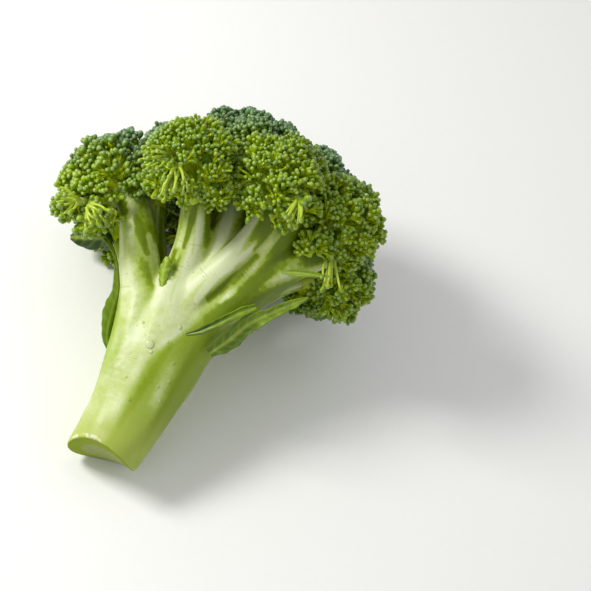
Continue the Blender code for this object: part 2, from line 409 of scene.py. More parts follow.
def add_node(tree, kind, inputs=None, output=0, **options):
    """Adds one node, sets its options, and sets or links its inputs, each from a number, a colour or
    another node's output. Gives back one of its own outputs, or the node itself where output is None."""
    node = tree.nodes.new(kind)
    for key, value in options.items():
        setattr(node, key, value)
    for key, value in (inputs or {}).items():
        if isinstance(value, bpy.types.NodeSocket):
            tree.links.new(value, node.inputs[key])
        elif node.inputs[key].type == "RGBA":
            node.inputs[key].default_value = (*value, 1.0)
        else:
            node.inputs[key].default_value = value
    return node if output is None else node.outputs[output]


def new_material(name, values=()):
    """A node material with no shader yet: it, its tree, its object coordinates, and the mesh's own values
    by name."""
    material = bpy.data.materials.new(name)
    material.use_nodes = True
    tree = material.node_tree
    tree.nodes.clear()
    spot = add_node(tree, "ShaderNodeTexCoord", output="Object")
    own = {key: add_node(tree, "ShaderNodeAttribute", output="Fac", attribute_name=key) for key in values}
    return material, tree, spot, own


def rind_material(settings):
    """Broccoli rind: firm, waxy and moist, so it has a soft broad gloss. It is whitish on the ridges that run
    up it and yellow-green in the grooves, and its cut end shows moist pale pith inside a darker green rim.
    How whitish it is comes from its wax value, which also holds painted highlights and painted shade."""
    material, tree, spot, own = new_material("waxy_broccoli_rind", RIND_VALUES)
    patch, fine, pitted, fibres = (
        add_node(
            tree, "ShaderNodeTexNoise",
            {"Vector": spot, "Scale": 1 / (size * MM), "Detail": detail, "Roughness": GRAIN_ROUGHNESS}, "Fac",
        )
        for size, detail in ((9.0, 4.0), (1.3, 4.0), (14.0, 1.0), (1.2, 4.0))
    )
    grit = add_node(tree, "ShaderNodeMapRange", dict(zip(STRETCH, (fine, 0.0, 1.0, -0.09, 0.09))))
    # The wax value, with painted highlights and painted shade in it, plus a fine grit.
    wax = add_node(tree, "ShaderNodeMath", {0: own["wax"], 1: grit}, operation="ADD")
    from_scar = add_node(tree, "ShaderNodeMath", {0: own["scar"]}, operation="ABSOLUTE")
    pits = {"Vector": spot, "Scale": 1 / (PITS_APART * MM)}
    from_pit = add_node(tree, "ShaderNodeTexVoronoi", pits, "Distance")
    creamy, banded, some_wax_and_light, much_wax_and_light, foot, pit, pit_share, torn, scarred, fibrous = (
        add_node(tree, "ShaderNodeMapRange", dict(zip(STRETCH, row)))
        for row in (
            (patch, 0.4, 0.66, 0.0, 1.0),
            (wax, -0.4, 0.4, 0.0, 1.0),
            (wax, -0.25, 0.05, 0.0, 1.0),
            (wax, 0.02, 0.3, 0.0, 1.0),
            (own["foot"], 0.0, 1.0, 0.0, 0.65),
            (from_pit, 0.20, 0.08, 0.0, 1.0),
            (pitted, 0.5, 0.62, 0.0, 0.55),
            (own["torn"], 0.25, 0.6, 0.0, 1.0),
            (from_scar, 0.5, 0.1, 0.0, 0.3),
            (fibres, 0.3, 0.8, 0.0, 1.0),
        )
    )
    pit = add_node(tree, "ShaderNodeMath", {0: pit, 1: pit_share}, operation="MULTIPLY")
    stops = ((0.2, settings.rind_deep), (0.43, settings.rind_green), (0.49, settings.rind_mid),
             (0.68, settings.rind_cream), (0.9, settings.rind_pale))
    streaks = add_node(tree, "ShaderNodeValToRGB", {"Fac": banded}, "Color")
    elements = streaks.node.color_ramp.elements
    while len(elements) < len(stops):
        elements.new(0.5)
    for element, (position, colour) in zip(elements, stops):
        element.position = position
        element.color = (*colour, 1.0)

    inputs = dict(zip(MIX_COLOURS, (creamy, settings.rind_pale, settings.rind_cream)))
    light = add_node(tree, "ShaderNodeMix", inputs, MIXED_COLOUR, data_type="RGBA")
    face, colour = settings.pith, settings.rind_green
    for share, over in ((fibrous, settings.pith_shade), (own["rim"], settings.cut_rim)):
        inputs = dict(zip(MIX_COLOURS, (share, face, over)))
        face = add_node(tree, "ShaderNodeMix", inputs, MIXED_COLOUR, data_type="RGBA")
    for share, over in (
        (some_wax_and_light, settings.rind_mid),
        (much_wax_and_light, light),
        (own["crisp"], streaks),
        (foot, settings.rind_foot),
        (pit, settings.rind_green),
        (torn, settings.torn_skin),
        (scarred, settings.rind_scar),
        (own["cut"], face),
    ):
        inputs = dict(zip(MIX_COLOURS, (share, colour, over)))
        colour = add_node(tree, "ShaderNodeMix", inputs, MIXED_COLOUR, data_type="RGBA")
    roughness = 0.4
    for share, over in ((own["cut"], 0.75), (own["wet"], 0.04)):
        roughness = add_node(tree, "ShaderNodeMix", dict(zip(MIX_NUMBERS, (share, roughness, over))))
    height = {"Height": fine, "Strength": 0.25, "Distance": 0.25 * MM}
    bump = add_node(tree, "ShaderNodeBump", height, "Normal")
    shader = add_node(tree, "ShaderNodeBsdfPrincipled", {
        "Base Color": colour, "Normal": bump,
        "Roughness": roughness, "Specular IOR Level": 0.4, "IOR": PLANT_IOR,
        "Subsurface Weight": 0.18, "Subsurface Radius": (1.0, 1.2, 0.3), "Subsurface Scale": 1.5 * MM,
    })
    add_node(tree, "ShaderNodeOutputMaterial", {"Surface": shader}, None)
    return material


def bud_material(settings):
    """Closed flower buds: smooth waxy sepals with a small bright gloss. The wax makes buds that face the sky
    blue-green, and the ones below and at the sides, and each bud's foot, are yellow-green. Each bud's tip is
    whitish, partly wax bloom and partly a painted highlight."""
    material, tree, _, own = new_material("waxy_flower_buds", BUD_VALUES)
    # The first of these whitens each bud's tip: partly wax bloom and partly a painted highlight.
    bloom_and_highlight, pale, above_foot = (
        add_node(tree, "ShaderNodeMapRange", dict(zip(STRETCH, row)))
        for row in (
            (own["tip"], 0.84, 1.0, 0.0, 0.22),
            (own["sky"], 0.0, -0.6, 0.0, 1.0),
            (own["tip"], 0.2, 0.5, 0.0, 1.0),
        )
    )
    inputs = dict(zip(MIX_COLOURS, (own["tint"], settings.bud_blue, settings.bud_dark)))
    waxy = add_node(tree, "ShaderNodeMix", inputs, MIXED_COLOUR, data_type="RGBA")
    fresh, colour = settings.bud_yellow, settings.stem_green
    for share, over in ((own["tint"], settings.bud_green), (own["sky"], waxy), (bloom_and_highlight, settings.bud_bloom_and_highlight)):
        inputs = dict(zip(MIX_COLOURS, (share, fresh, over)))
        fresh = add_node(tree, "ShaderNodeMix", inputs, MIXED_COLOUR, data_type="RGBA")
    for share, over in ((own["sky"], settings.bud_green), (pale, settings.rind_pale), (above_foot, fresh)):
        inputs = dict(zip(MIX_COLOURS, (share, colour, over)))
        colour = add_node(tree, "ShaderNodeMix", inputs, MIXED_COLOUR, data_type="RGBA")
    shader = add_node(tree, "ShaderNodeBsdfPrincipled", {
        "Base Color": colour, "Roughness": 0.19, "Specular IOR Level": 0.5, "IOR": PLANT_IOR,
    })
    add_node(tree, "ShaderNodeOutputMaterial", {"Surface": shader}, None)
    return material


def leaf_material(settings):
    """A fresh brassica leaf: thin, smooth and faintly waxy, darker towards its edges, with pale veins."""
    material, tree, spot, own = new_material("brassica_leaf", LEAF_VALUES)
    patches = add_node(
        tree, "ShaderNodeTexNoise",
        {"Vector": spot, "Scale": 1 / (4.0 * MM), "Detail": 4.0, "Roughness": GRAIN_ROUGHNESS}, "Fac",
    )
    mottle = add_node(tree, "ShaderNodeMapRange", dict(zip(STRETCH, (patches, 0.3, 0.7, 0.0, 1.0))))
    colour = settings.leaf_light
    for share, over in (
        (mottle, settings.leaf_green), (own["dark"], settings.leaf_dark), (own["vein"], settings.leaf_vein)
    ):
        inputs = dict(zip(MIX_COLOURS, (share, colour, over)))
        colour = add_node(tree, "ShaderNodeMix", inputs, MIXED_COLOUR, data_type="RGBA")
    height = {"Height": own["vein"], "Strength": 0.4, "Distance": 0.3 * MM}
    bump = add_node(tree, "ShaderNodeBump", height, "Normal")
    shader = add_node(tree, "ShaderNodeBsdfPrincipled", {
        "Base Color": colour, "Normal": bump,
        "Roughness": 0.45, "Specular IOR Level": 0.4, "IOR": PLANT_IOR,
        "Subsurface Weight": 0.15, "Subsurface Radius": (0.8, 1.2, 0.2), "Subsurface Scale": 0.8 * MM,
    })
    add_node(tree, "ShaderNodeOutputMaterial", {"Surface": shader}, None)
    return material


def floor_material(settings):
    """Matt white card: even and without gloss, so the head's soft shadow is all that it shows."""
    material, tree, spot, _ = new_material("matt_white_card")
    paper = add_node(
        tree, "ShaderNodeTexNoise",
        {"Vector": spot, "Scale": 1 / (3.0 * MM), "Detail": 2.0, "Roughness": GRAIN_ROUGHNESS}, "Fac",
    )
    grain = add_node(tree, "ShaderNodeMapRange", dict(zip(STRETCH, (paper, 0.2, 0.8, 0.0, 1.0))))
    shade = [0.985 * c for c in settings.floor_colour]
    inputs = dict(zip(MIX_COLOURS, (grain, settings.floor_colour, shade)))
    colour = add_node(tree, "ShaderNodeMix", inputs, MIXED_COLOUR, data_type="RGBA")
    shader = add_node(tree, "ShaderNodeBsdfPrincipled", {"Base Color": colour, "Roughness": 0.9})
    add_node(tree, "ShaderNodeOutputMaterial", {"Surface": shader}, None)
    return material


# ----------------------------------------------------------------------------------------
# Stalk
# ----------------------------------------------------------------------------------------

PATH_STEPS = 5
STALK_LOW = np.array([-56.0, -44.0, -6.0])
STALK_HIGH = np.array([68.0, 52.0, 138.0])
BRANCH_WEB = 3.0
TRUNK_WEB = 4.5
CUT_ROUNDING = 1.0
RIM_WIDTH = 5.2
NO_SCAR = 9.0
FLECK_SIZE = 1.7
# What the rind adds to some branches' solids, as (x, y, z, radius).
BRANCH_CHANGES = {
    "floret_left": (0.8, 0, 0, -1.1),
    "floret_top_left": (-0.5, 0, 0, -1.0),
    "floret_front_left": (1.8, 0, 0, -0.7),
    "floret_crown": (0.5, -4.5, 0, 1.2),
    "floret_right_low": (-1.5, 0, 2.0, -1.6),
}
# Ribs that carry the front branches on down the trunk, just proud of its skin, and a fork of the right
# branch that runs up beside the front right one and closes the fan between them, as (x, y, z, radius)
# points.
RIBS = {
    "fork": [(24, -15, 96, 8.0), (27, -18, 104, 7.0), (30, -22, 113, 6.2), (33, -27, 122, 5.4),
             (34, -33, 131, 4.4)],
    "left rib": [(-9, -6, 72, 12.0), (-4.5, -5.5, 52, 12.4), (-3.2, -5.5, 34, 10.0), (-1.5, -5, 16, 9.0)],
    "middle rib": [(-1.5, -11.5, 82, 8.5), (1, -12.8, 62, 8.2), (3, -11.5, 44, 7.0), (4.2, -9.5, 22, 6.4)],
    "right rib": [(15, -8.5, 72, 11.5), (13.5, -8, 54, 11.0), (12.5, -7, 36, 9.6), (10.5, -6, 16, 8.6)],
}


# Long marks on the stalk's front, seen from there as (x, z) to (x, z): half-width, and how much wax each
# adds. Some of them are painted highlights, painted light and painted shade, as noted at each.
WAX_AND_LIGHT_MARKS = (
    ((-29.5, 101.5), (-18.0, 90.0), 2.2, -0.28),
    # Painted light: lightens the shaded right half of the left branch.
    ((-20.5, 97.0), (-8.5, 80.0), 2.8, 0.36),
    # Painted light: lightens the crown branch, which lies in the front florets' shade.
    ((5.0, 90.0), (9.0, 126.0), 3.5, 0.24),
    ((-4.6, 98.0), (-7.2, 114.0), 1.2, -0.36),
    ((-3.5, 84.0), (-6.5, 96.0), 2.2, -0.28),
    ((19.0, 74.0), (34.0, 105.0), 2.8, -0.36),
    ((15.0, 83.0), (25.5, 108.0), 2.6, -0.32),
    ((24.0, 110.0), (27.0, 128.0), 2.0, -0.24),
    ((33.0, 112.0), (44.0, 119.0), 1.6, -0.18),
    ((9.5, 57.0), (4.8, 16.0), 2.0, -0.15),
    ((21.5, 58.0), (20.0, 8.0), 3.6, -0.16),
    # The next four: painted highlights, partly whitish wax, on the lit left and upper-left edges of the left,
    # front-left and front-right branches.
    ((-14.0, 62.0), (-34.0, 99.0), 3.6, 0.26),
    ((-5.5, 93.0), (-9.8, 115.0), 1.4, 0.30),
    ((11.0, 80.0), (19.0, 124.0), 2.0, 0.28),
    ((20.5, 84.0), (33.0, 113.0), 2.0, 0.22),
    # Painted shade: darkens the shaded underside of the right low branch.
    ((25.0, 83.0), (55.0, 112.0), 5.0, -0.36),
    # A painted highlight in the fork where the branches leave the trunk.
    ((0.0, 58.0), (-3.0, 80.0), 2.6, 0.16),
    ((-7.0, 60.0), (-8.0, 40.0), 2.2, 0.10),
)
# Water drops on the trunk's front, as (x, z, radius).
DROPS = (
    (1.2, 53.0, 2.0), (3.4, 50.0, 0.8), (7.5, 57.5, 0.7), (13.5, 50.5, 0.8), (15.5, 43.0, 0.9),
    (12.0, 38.5, 0.6), (-1.5, 36.0, 0.6), (4.0, 28.0, 0.8), (-5.5, 61.0, 0.6), (9.5, 66.0, 0.9),
    (16.0, 33.5, 0.7), (-2.0, 45.5, 0.5),
)


def stalk_lines():
    """The trunk's, every branch's and every rib's smooth line of (x, y, z, radius)."""
    lines = {"trunk": smooth_path(TRUNK, PATH_STEPS)}
    for name, (_, branch) in FLORETS.items():
        change = BRANCH_CHANGES.get(name, (0, 0, 0, 0))
        lines[name] = smooth_path(np.array(branch, float) + change, PATH_STEPS)
    for name, rib in RIBS.items():
        lines[name] = smooth_path(rib, PATH_STEPS)
    return lines


def stalk_field(cell):
    """Distances from the stalk's skin on a grid of points: the branches' tubes joined with rounded webs,
    joined to the trunk with wider ones, less everything below the cut."""
    axes = [np.arange(low, high, cell) for low, high in zip(STALK_LOW, STALK_HIGH)]
    shape = tuple(len(a) for a in axes)
    far = 3 * TRUNK_WEB
    trunk = np.full(shape, far, np.float32)
    branches = np.full(shape, far, np.float32)
    for name, line in stalk_lines().items():
        margin = line[:, 3].max() + 7.0
        window = tuple(
            slice(*np.searchsorted(a, (line[:, i].min() - margin, line[:, i].max() + margin)))
            for i, a in enumerate(axes)
        )
        block = np.stack(np.meshgrid(*(a[w] for a, w in zip(axes, window)), indexing="ij"), axis=-1)
        gap = along_tube(block.reshape(-1, 3), line)[0].reshape(block.shape[:3])
        if name == "trunk":
            trunk[window] = gap
        else:
            branches[window] = soft_min(branches[window], gap, BRANCH_WEB)
    field = soft_min(trunk, branches, TRUNK_WEB)
    x, y, z = np.meshgrid(*axes, indexing="ij", sparse=True)
    below = cut_height(x, y) - z
    return -soft_min(-field, -below, CUT_ROUNDING)


def rind_pattern(points, rng):
    """The rind's relief, wax and scars at each point of the skin. Each branch has its own noise in (cos
    angle, sin angle, way along), drawn out along the branch, and the branches' patterns fade into each
    other by their distance. A scar is a thin arc part of the way round; its value is the distance along
    the branch from it."""
    table = rng.random((32, 32, 32))
    total = np.zeros(len(points))
    ridge = np.zeros(len(points))
    wax = np.zeros(len(points))
    scar = np.full(len(points), NO_SCAR)
    nearest = np.full(len(points), 1e9)
    for name, line in stalk_lines().items():
        gap, reach, foot = along_tube(points, line)
        weight = np.exp(-np.clip(gap, -4, 20) / 0.8)
        out = points - foot
        angle = np.arctan2(out[:, 1], out[:, 0])
        around = np.stack([np.cos(angle), np.sin(angle)], axis=1)
        start = rng.uniform(0, 32, 3)
        broad_ridge, narrow_ridge, broad_wax, narrow_wax = (
            lattice_noise(np.column_stack([around * round_it, reach / length]) + start, table)
            for round_it, length in ((1.1, 34.0), (2.6, 26.0), (1.5, 19.0), (4.0, 12.0))
        )
        here_ridge = 1.5 * broad_ridge + 0.5 * narrow_ridge
        here_wax = 0.9 * broad_wax + 0.45 * narrow_wax + 0.35 * here_ridge
        total += weight
        ridge += weight * here_ridge
        wax += weight * here_wax
        closer = gap < nearest
        nearest = np.where(closer, gap, nearest)
        here_scar = np.full(len(points), NO_SCAR)
        for _ in range(2 if name in FLORETS else 0):
            at, side, lean = rng.uniform(22, 48), rng.uniform(math.pi, 2 * math.pi), rng.uniform(-4.0, 4.0)
            away = np.cos(angle - side)
            along = reach - at - lean * away
            along += np.sign(along) * 1.5 * smooth_step(0.7, 0.3, away)
            here_scar = np.where(np.abs(along) < np.abs(here_scar), along, here_scar)
        scar = np.where(closer, here_scar, scar)
    return ridge / total, wax / total, np.clip(scar, -NO_SCAR, NO_SCAR)


def wax_and_light_by_place(points, normals, fleck, grain):
    """How crisp the wax's edges are at each point, and how much wax it has, which also holds painted light
    and
    shade: on the trunk, pale in a wide band on the left that ends at a turn that moves right with height,
    partly wax and partly painted light from the upper left, and a painted highlight streak; on the branches,
    less behind, as painted shade, and near the florets, and lighter on the left branch's left side, partly
    wax and partly a painted highlight; and everywhere the grain's streaks and the long marks."""
    x, y, z = points.T
    crisp = smooth_step(62, 88, z)
    across = (x - 5.0 - 0.03 * (z - 30)) / 17.0
    turn = -0.12 + 0.55 * smooth_step(44, 72, z)
    # Pale on the left and greener to the right: partly the rind's wax and partly painted light from the upper
    # left.
    trunk = 0.27 - 0.40 * smooth_step(turn - 0.12, turn + 0.16, across)
    trunk -= 0.12 * smooth_step(-0.72, -1.0, across)
    # A painted highlight: a bright streak across the trunk's middle.
    trunk += 0.24 * np.exp(-(((across - 0.5) / 0.15) ** 2)) * smooth_step(24, 36, z) * smooth_step(56, 46, z)
    # Less wax towards the right edge, partly green rind and partly painted shade, and less near the cut.
    trunk -= 0.16 * smooth_step(0.62, 0.92, across) + 0.06 * smooth_step(30, 6, z)
    branches = 0.05 - 0.16 * smooth_step(100, 125, z)
    # Painted shade: the branches behind are greener and darker because they lie in shade.
    branches -= 0.20 * smooth_step(2, 14, y) * smooth_step(60, 80, z)
    # Lighter on the left branch's left side: partly wax and partly a painted highlight.
    branches += 0.22 * smooth_step(-0.1, -0.5, (x + 0.62 * (z - 56) + 4) / 13.0) * smooth_step(108, 90, z)
    marks = np.zeros(len(points))
    for low, high, half, strength in WAX_AND_LIGHT_MARKS:
        low, along = np.array(low), np.array(high) - low
        flat = points[:, [0, 2]] - low
        share = np.clip(flat @ along / (along @ along), 0, 1)
        off = np.linalg.norm(flat - share[:, None] * along, axis=1) * (1 + 0.5 * fleck)
        taper = 0.45 + 0.55 * np.sin(math.pi * (0.12 + 0.76 * share))
        marks += strength * smooth_step(1.45, 0.35, off / (half * taper)) * (normals[:, 1] < 0.1)
    wax = grain * (0.3 + 0.7 * crisp) + trunk * (1 - crisp) + branches * crisp + marks
    return crisp, wax


def add_drops(heap, points, normals, above, wax, crisp):
    """Water drops: low rounded forms that sit on the nearest point of the skin's front, and take its
    colour."""
    arc = [(math.sin(a), -math.cos(a)) for a in np.linspace(0, math.pi, 9)]
    form, quads, triangles = turned_forms(arc, 16, 3, 0.03)
    facing = (normals[:, 1] < -0.3) & (above > 3)
    for x, z, radius in DROPS:
        at = np.where(facing, np.hypot(points[:, 0] - x, points[:, 2] - z), 1e9).argmin()
        turned = upright_frames(normals[at][None], np.array([x]))[0]
        drop = points[at] + (form * [1.0, 1.15, 0.42] * radius) @ turned.T
        heap.add(
            drop, quads, triangles,
            wax=wax[at], crisp=crisp[at], scar=NO_SCAR, cut=0.0, rim=0.0, torn=0.0, foot=0.0, wet=1.0,
        )


def make_stalk(settings):
    """The stalk's skin from its distance field, with ridges pushed along the normals, and its colour
    values."""
    cell = settings.skin_cell / MM
    reach = 3 * cell
    grid = openvdb.FloatGrid(reach)
    grid.copyFromArray(np.clip(stalk_field(cell), -reach, reach).astype(np.float32))
    points, triangles, quads = grid.convertToPolygons(isovalue=0.0, adaptivity=0.0)
    points = points.astype(float) * cell + STALK_LOW
    quads = quads.astype(np.int64)
    corners = points[quads]
    face_normals = np.cross(corners[:, 2] - corners[:, 0], corners[:, 3] - corners[:, 1])
    normals = np.zeros_like(points)
    for corner in range(4):
        np.add.at(normals, quads[:, corner], face_normals)
    normals = unit(normals)

    rng = seeded("stalk", settings.seed)
    ridge, grain, scar = rind_pattern(points, rng)
    x, y, _ = points.T
    above = points[:, 2] - cut_height(x, y)
    on_cut = smooth_step(0.9, 0.35, above) * (normals[:, 2] < -0.3)
    from_skin = along_tube(points, smooth_path(TRUNK, PATH_STEPS))[0] - 0.1 * (x - CUT_MIDDLE) - 0.12 * y
    rim = smooth_step(-RIM_WIDTH - 1.0, -RIM_WIDTH + 1.0, from_skin)
    relief = settings.ridge_height / MM * ridge * (1 - smooth_step(3.0, 0.5, above))
    points = points + normals * relief[:, None]
    x, y, z = points.T
    fleck = lattice_noise(points / FLECK_SIZE, rng.random((16, 16, 16)))
    torn = (0.5 + 2.0 * fleck) * smooth_step(3.2, 1.4, above) * smooth_step(6, -4, x) * smooth_step(2, -6, y)
    crisp, wax = wax_and_light_by_place(points, normals, fleck, grain)
    heap = Heap(*RIND_VALUES)
    heap.add(
        points, quads, triangles,
        wax=wax, crisp=crisp, scar=scar, cut=on_cut, rim=rim, torn=torn, wet=0.0, foot=smooth_step(36, 8, z),
    )
    add_drops(heap, points, normals, above, wax, crisp)
    return place(heap.mesh("stalk_rind"), rind_material(settings), ["stalk_with_branches"])


# ----------------------------------------------------------------------------------------
# Florets
# ----------------------------------------------------------------------------------------

# A bud's profile, as (radius, height) shares of its width's half and its length, from its foot to its
# tip.
BUD_PROFILE = ((0, 0.0), (0.45, 0.06), (0.86, 0.36), (1.0, 0.66), (0.66, 0.93), (0, 0.98))
BUD_SIDES = 8
CROWN_ROOT = np.array([5.0, 0.0, 85.0])
# A floret's dome forks into lobes, whose radius is a share of the dome's, a lobe into umbels, as many as
# its area holds, and an umbel into buds, each set round the one before out to an angle.
LOBES_EACH = 19
LOBE_SHARE = 0.38
LOBE_CAP = math.radians(120)
UMBEL_RADIUS = 5.6
UMBEL_CAP = math.radians(108)
UMBEL_AREA = 56.0
BUDS_IN_UMBEL = 15
BUD_CAP = math.radians(62)
NEIGHBOUR_GAP = -0.6
LEAST_BUD_HEIGHT = 1.4
BUD_SPACING = 0.66
# How big the dark ball of painted shade inside each lobe is, as a share of the lobe's radius.
SHADE_BALL_SHARE = 0.3
SPRAY_SKY = 0.1

# How each floret differs in its looks: how far its dome moves and grows past the solid's, how big its
# buds are, how loose its umbels are, how much they tilt up along its axis, how much of the sky's
# blue-green its buds have, and added lobes and balls without buds, as (x, y, z, radius).
PLAIN = dict(shift=(0, 0, 0), grow=2.5, bud=1.0, loose=0.3, tilt=0.5, blue=0.0, extra=(), bald=())
FLORET_LOOKS = {
    "floret_left": dict(
        shift=(2.5, 0, 4), grow=1.0, bud=1.15, loose=0.6, tilt=0.8, blue=0.25,
        extra=((-36, -8, 124, 8.0), (-44, -3, 131, 8.0), (-48, -6, 137, 8.0), (-57, -7, 127, 8.0),
               (-60, -17, 94, 7.0), (-59, -14, 101, 8.0), (-44, -22, 98, 7.0)),
    ),
    "floret_top_left": dict(shift=(2, 0, 1.5), grow=1.5, blue=0.2),
    "floret_front_left": dict(
        shift=(1, 0, 0), bud=0.95, grow=1.5, loose=0.7, tilt=1.0, blue=-0.42,
        bald=((-31, -62, 117, 6.5), (-20, -64, 112, 7.0)),
    ),
    "floret_front_right": dict(loose=0.7, tilt=0.9, blue=-0.2),
    "floret_crown": dict(
        grow=3.0, blue=0.2,
        extra=((-8, -5, 161, 8.0), (-20, 0, 158, 8.0), (-14, 4, 167, 9.0), (-7, 6, 171, 9.0),
               (6, 6, 172, 8.0), (13, 5, 172, 9.0), (-3, -12, 162, 8.0)),
    ),
    "floret_top_right": dict(shift=(-2.5, 0, 0), grow=2.5, blue=0.3),
    "floret_right": dict(
        shift=(-1.5, 0, 0), grow=0.5, loose=0.5, tilt=0.8, blue=-0.12,
        extra=((50, -30, 126, 7.0), (45, -31, 124, 6.0)),
    ),
    "floret_right_low": dict(loose=0.6, tilt=0.8, grow=0.5, blue=-0.1),
    "floret_back_far_right": dict(grow=0.0, blue=0.4),
    "floret_back_mid": dict(grow=4.0, bald=((-18, 34, 114, 14.0),)),
    "floret_back_left": dict(shift=(3, 0, 3), grow=2.5, bald=((-18, 34, 114, 14.0),)),
    "floret_back_right": dict(grow=4.0),
}

# Loose sprays of buds on long bare stems, listed one by one: the floret, where its thick stalk starts, the
# spray's root, the middle of its buds, how wide it opens, in degrees, how many buds it has, and how big
# they are.
SPRAYS = (
    ("floret_left", (-42, -16, 104), (-48, -30, 94), (-36, -34, 91), 40, 7, 1.25),
    ("floret_left", (-42, -16, 104), (-48, -30, 94), (-40, -34, 84), 34, 5, 1.25),
    ("floret_left", (-48, -14, 100), (-56, -26, 95), (-63, -31, 88), 50, 9, 1.2),
    ("floret_left", (-40, -12, 98), (-44, -24, 90), (-47, -29, 80), 36, 6, 1.3),
    ("floret_front_left", (-18, -38, 134), (-27, -50, 124), (-33, -57, 114), 60, 16, 0.95),
    ("floret_front_left", (-18, -42, 132), (-20, -53, 120), (-15, -57, 106), 38, 14, 0.95),
    ("floret_front_right", (28, -40, 138), (32, -52, 131), (34, -59, 117), 24, 6, 1.2),
    ("floret_front_right", (17, -40, 128), (15, -49, 127), (20, -53, 119), 8, 1, 1.5),
    ("floret_front_right", (28, -40, 138), (31, -50, 132), (37, -57, 132), 20, 3, 1.4),
    ("floret_right_low", (56, -12, 126), (55, -26, 124), (60, -30, 108), 20, 6, 1.05),
)


def beyond_neighbours(name, points, margin):
    """How far points are past the flat faces where a floret presses on its neighbours, less margin. The
    face between two domes goes through the circle where they meet."""
    (centre, radius), _ = FLORETS[name]
    middle = np.array(centre, float)
    worst = np.full(len(points), -1e9)
    for other, ((spot, size), _) in FLORETS.items():
        apart = np.array(spot, float) - middle
        distance = np.linalg.norm(apart)
        if other == name or distance >= radius + size:
            continue
        share = (distance**2 + radius**2 - size**2) / (2 * distance)
        worst = np.maximum(worst, (points - middle) @ (apart / distance) - share + margin)
    return worst


def buried(points, centres, radii, own, slack):
    """Whether points lie inside any ball but their own by more than slack."""
    gap = np.linalg.norm(points[:, None] - centres[None], axis=2) - radii[None]
    gap[np.arange(len(points)), own] = 1e9
    return gap.min(axis=1) < -slack


def thin_out(points, cell):
    """Keeps one point of those in each cube of a grid."""
    keys = np.floor(points / cell).astype(np.int64)
    _, first = np.unique(keys, axis=0, return_index=True)
    keep = np.zeros(len(points), bool)
    keep[first] = True
    return keep


def sky_share(points, middle, blue):
    """How waxy blue-green buds are, from 0 underneath and in front to 1 on the crown's top and back: a
    mix of a bud's place on its floret, and its place on the crown."""
    on_floret = unit(points - middle)[:, 2]
    on_crown = unit(points - CROWN_ROOT)[:, 2]
    back = smooth_step(-35, 25, points[:, 1])
    return smooth_step(0.25, 1.2, 0.45 * on_floret + 0.4 * on_crown + 0.5 * back + blue)


def add_buds(heap, heads, ways, widths, lengths, sky, tint, rng):
    """Buds with their tips near heads, pointing along ways, each one turned form scaled, turned and
    moved."""
    template, quads, triangles = turned_forms(BUD_PROFILE, BUD_SIDES, 4, 0.07)
    scale = np.stack([widths / 2, widths / 2, lengths], axis=1)
    leaning = unit(ways + 0.16 * rng.normal(size=ways.shape))
    frames = upright_frames(leaning, rng.uniform(0, 2 * math.pi, len(heads)))
    feet = heads - ways * lengths[:, None]
    points = feet[:, None] + np.einsum("nij,nkj->nki", frames, template[None] * scale[:, None])
    each = len(template)
    count = len(heads)
    heap.add(
        points.reshape(-1, 3), repeat_faces(quads, count, each), repeat_faces(triangles, count, each),
        tip=np.tile(template[:, 2], count), sky=np.repeat(sky, each), tint=np.repeat(tint, each),
    )
    return feet


def add_stems(heap, starts, bends, ends, radii, form, sky, tint):
    """Stems between two sets of points; form is how many sides and rings each has."""
    count = len(ends)
    shape = stems(starts, bends, ends, np.full(count, radii[0]), np.full(count, radii[1]), *form)
    heap.add(*shape[:3], tip=0.0, sky=np.repeat(np.broadcast_to(sky, count), shape[3]), tint=tint)


def add_spray(heap, start, root, middle, spread_angle, count, size, settings, rng):
    """A spray of a few buds on long bare stems that fan out and droop from the end of a thicker one."""
    start, root, middle = np.array(start, float), np.array(root, float), np.array(middle, float)
    bend = 0.5 * (start + root) + 0.3 * (root - middle)
    add_stems(heap, start[None], bend[None], root[None], (2.6, 1.7), (10, 7), -0.22, 0.0)
    axis = unit(middle - root)
    length = np.linalg.norm(middle - root)
    ways = spread(axis[None], count, math.radians(spread_angle), rng, 0.08)[0]
    heads = root + ways * (length * rng.uniform(0.7, 1.12, count))[:, None]
    widths = settings.bud_width / MM * size * rng.uniform(0.85, 1.1, count)
    lengths = 1.3 * widths
    tint = rng.uniform(0.1, 0.6, count)
    sky = np.full(count, SPRAY_SKY)
    feet = add_buds(heap, heads, unit(ways + 0.3 * axis), widths, lengths, sky, tint, rng)
    bends = 0.5 * (root + feet) + 0.3 * length * (ways - axis) + 0.06 * length * rng.normal(size=(count, 3))
    starts = root + 0.5 * rng.normal(size=(count, 3)) - 1.0 * axis
    add_stems(heap, starts, bends, feet + ways * 0.2, (0.95, 0.5), (6, 7), -0.08, 0.15)


def grow_lobes(name, looks, middle, radius, outward, rng):
    """A floret's lobes, as their directions from its middle, their centres and their radii: a cap of
    directions round its outward one, and the added ones, less those inside a neighbour or a bald
    ball."""
    radii = LOBE_SHARE * radius * rng.uniform(0.8, 1.12, LOBES_EACH)
    ways = spread(outward[None], LOBES_EACH, LOBE_CAP, rng, 0.16)[0]
    lobes = middle + ways * (radius - radii)[:, None]
    if looks["extra"]:
        added = np.array(looks["extra"], float)
        lobes = np.vstack([lobes, added[:, :3]])
        radii = np.concatenate([radii, added[:, 3]])
        ways = np.vstack([ways, unit(added[:, :3] - middle)])
    keep = beyond_neighbours(name, lobes, 0.0) < 2.0
    for x, y, z, ball in looks["bald"]:
        keep &= np.linalg.norm(lobes - (x, y, z), axis=1) > ball + 2
    return ways[keep], lobes[keep], radii[keep]


